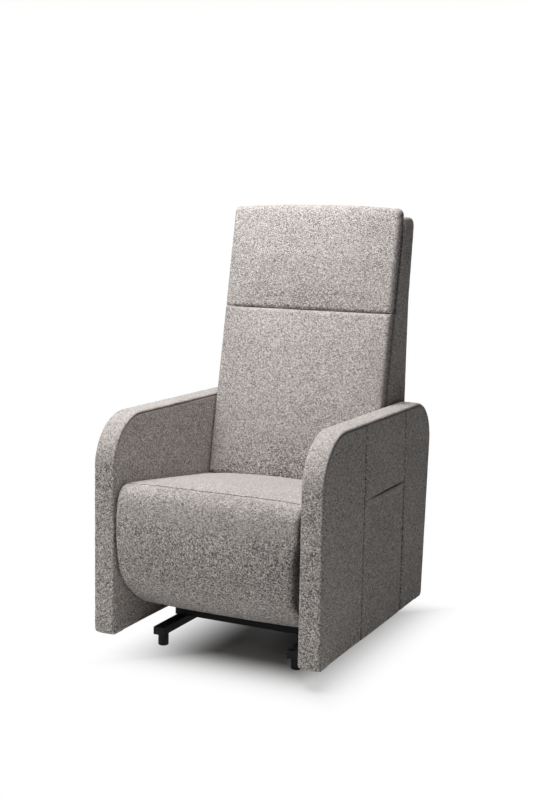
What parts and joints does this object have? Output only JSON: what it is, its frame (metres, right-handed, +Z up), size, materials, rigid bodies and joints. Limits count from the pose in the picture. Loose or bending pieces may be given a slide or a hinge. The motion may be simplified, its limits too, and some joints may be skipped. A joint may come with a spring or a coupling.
{
  "type": "rise and recline armchair",
  "caption": "Upholstered armchair with straight rounded arms and a high back, whose seat lifts and tips forward, back reclines, legrest swings out and headrest tilts.",
  "frame": {"origin": "centre of the overall box on the floor, under the feet", "axes": "+X to the sitter's left, -Y the way the chair faces, +Z up"},
  "size_m": [0.616, 0.7536, 1.12],
  "materials": {
    "upholstery": "looped warm light grey weave",
    "webbing": "black elastic webbing",
    "timber": "raw plywood and beech",
    "frame_steel": "black powder coat",
    "bright_steel": "plain zinc-plated steel",
    "foot_plastic": "black moulded plastic",
    "drive_plastic": "dark grey moulded housing"
  },
  "bodies": {
    "base": {"base_rail_left": "frame_steel", "base_rail_right": "frame_steel", "rail_end_caps": "foot_plastic", "base_feet": "foot_plastic", "front_cross_bar": "frame_steel", "rear_cross_bar": "frame_steel", "lift_lugs": "frame_steel", "lift_pins": "bright_steel", "lift_motor": "drive_plastic", "lift_drive_tube": "drive_plastic"},
    "lift_rod": {"lift_drive_rod": "bright_steel"},
    "lower_links": {"lower_link_left": "frame_steel", "lower_link_right": "frame_steel", "lift_torque_tube": "frame_steel"},
    "upper_links": {"upper_link_left": "frame_steel", "upper_link_right": "frame_steel"},
    "carriage": {"carriage_plate_left": "frame_steel", "carriage_plate_right": "frame_steel", "carriage_tube": "frame_steel", "carriage_pins": "bright_steel", "seat_member_left": "timber", "seat_member_right": "timber", "seat_cross_members": "timber", "seat_straps": "webbing", "seat_pad": "upholstery", "arm_band_left": "upholstery", "arm_band_right": "upholstery", "arm_core_left": "timber", "arm_core_right": "timber", "arm_inner_pad_left": "upholstery", "arm_inner_pad_right": "upholstery", "arm_outer_pad_left": "upholstery", "arm_outer_pad_right": "upholstery", "side_pocket": "upholstery", "arm_spacers": "bright_steel", "arm_bolts": "bright_steel", "legrest_brackets": "frame_steel", "legrest_pins": "bright_steel", "legrest_motor": "drive_plastic", "legrest_drive_tube": "drive_plastic", "back_hinge_plates": "frame_steel", "back_hinge_pins": "bright_steel", "back_motor": "drive_plastic", "back_drive_tube": "drive_plastic"},
    "legrest": {"legrest_hinge_frame": "frame_steel", "legrest_board": "timber", "legrest_pad": "upholstery"},
    "legrest_rod": {"legrest_drive_rod": "bright_steel"},
    "back": {"back_hinge_frame": "frame_steel", "back_upright_left": "timber", "back_upright_right": "timber", "back_cross_rails": "timber", "back_straps": "webbing", "back_shell": "upholstery", "lower_back_pad": "upholstery", "headrest_rod": "bright_steel"},
    "back_rod": {"back_drive_rod": "bright_steel"},
    "headrest": {"headrest_hinges": "bright_steel", "headrest_board": "timber", "headrest_pad": "upholstery"}
  },
  "joints": [
    {"name": "lift", "type": "hinge", "parent": "base", "child": "lower_links", "pos_m": [0, -0.1028, 0.092], "axis": [1, 0, 0], "range_deg": [0, 55]},
    {"name": "carriage_tilt", "type": "hinge", "parent": "lower_links", "child": "carriage", "pos_m": [0, 0.1062, 0.107], "axis": [1, 0, 0], "range_deg": [-35.01, 0.01]},
    {"name": "upper_link_turn", "type": "hinge", "parent": "base", "child": "upper_links", "pos_m": [0, -0.05781, 0.11873], "axis": [1, 0, 0], "range_deg": [-0.01, 48.18]},
    {"name": "lift_rod_slide", "type": "slide", "parent": "base", "child": "lift_rod", "axis": [0, -1, 0], "range_m": [-0.0001, 0.0614]},
    {"name": "legrest", "type": "hinge", "parent": "carriage", "child": "legrest", "pos_m": [0, -0.3188, 0.385], "axis": [-1, 0, 0], "range_deg": [0, 80]},
    {"name": "legrest_rod_slide", "type": "slide", "parent": "carriage", "child": "legrest_rod", "axis": [0, -1, 0], "range_m": [-0.0001, 0.1526]},
    {"name": "recline", "type": "hinge", "parent": "carriage", "child": "back", "pos_m": [0, 0.1832, 0.34498], "axis": [-1, 0, 0], "range_deg": [0, 30]},
    {"name": "back_rod_slide", "type": "slide", "parent": "carriage", "child": "back_rod", "axis": [0, -1, 0], "range_m": [-0.0001, 0.0508]},
    {"name": "headrest", "type": "hinge", "parent": "back", "child": "headrest", "pos_m": [0, 0.22268, 0.846], "axis": [1, 0, 0], "range_deg": [0, 25]}
  ],
  "couplings": [
    {"joint": "carriage_tilt", "follows": "lift", "ratio": -0.63636},
    {"joint": "upper_link_turn", "follows": "lift", "ratio": 0.87569},
    {"joint": "lift_rod_slide", "follows": "lift", "m_per_rad": 0.06378},
    {"joint": "legrest_rod_slide", "follows": "legrest", "m_per_rad": 0.10916},
    {"joint": "back_rod_slide", "follows": "recline", "m_per_rad": 0.096663}
  ]
}
